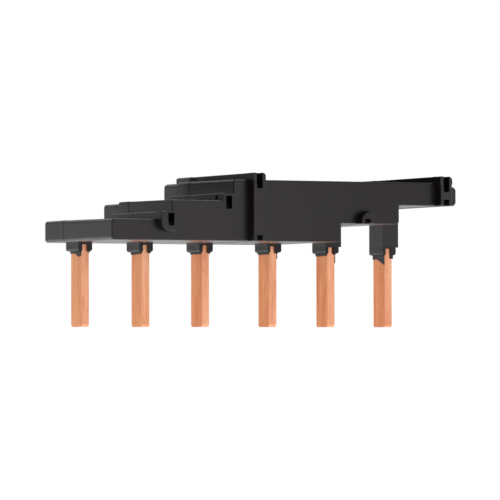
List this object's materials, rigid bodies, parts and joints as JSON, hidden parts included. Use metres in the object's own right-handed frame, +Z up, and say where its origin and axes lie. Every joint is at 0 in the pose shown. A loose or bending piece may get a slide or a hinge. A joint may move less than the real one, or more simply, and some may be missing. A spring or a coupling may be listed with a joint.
{
  "type": "comb busbar",
  "caption": "Stepped black plastic comb busbar with flat copper pins in a row, one bent copper bar a phase inside, to link neighbouring motor protection devices to one supply.",
  "frame": {"origin": "middle of the pin row, on the plane of the housing's lowest underside", "axes": "+X along the pin row towards the high end of the steps, +Y to the rear, +Z up, pins pointing down"},
  "size_m": [0.0827, 0.0351, 0.0324],
  "materials": {
    "housing_plastic": "black moulded polyamide with a fine satin grain",
    "bar_copper": "bare electrolytic copper, lightly brushed and grainy"
  },
  "bodies": {
    "root": {"front_housing": "housing_plastic", "rear_housing": "housing_plastic", "phase_bar_1": "bar_copper", "phase_bar_2": "bar_copper", "phase_bar_3": "bar_copper"}
  },
  "joints": []
}
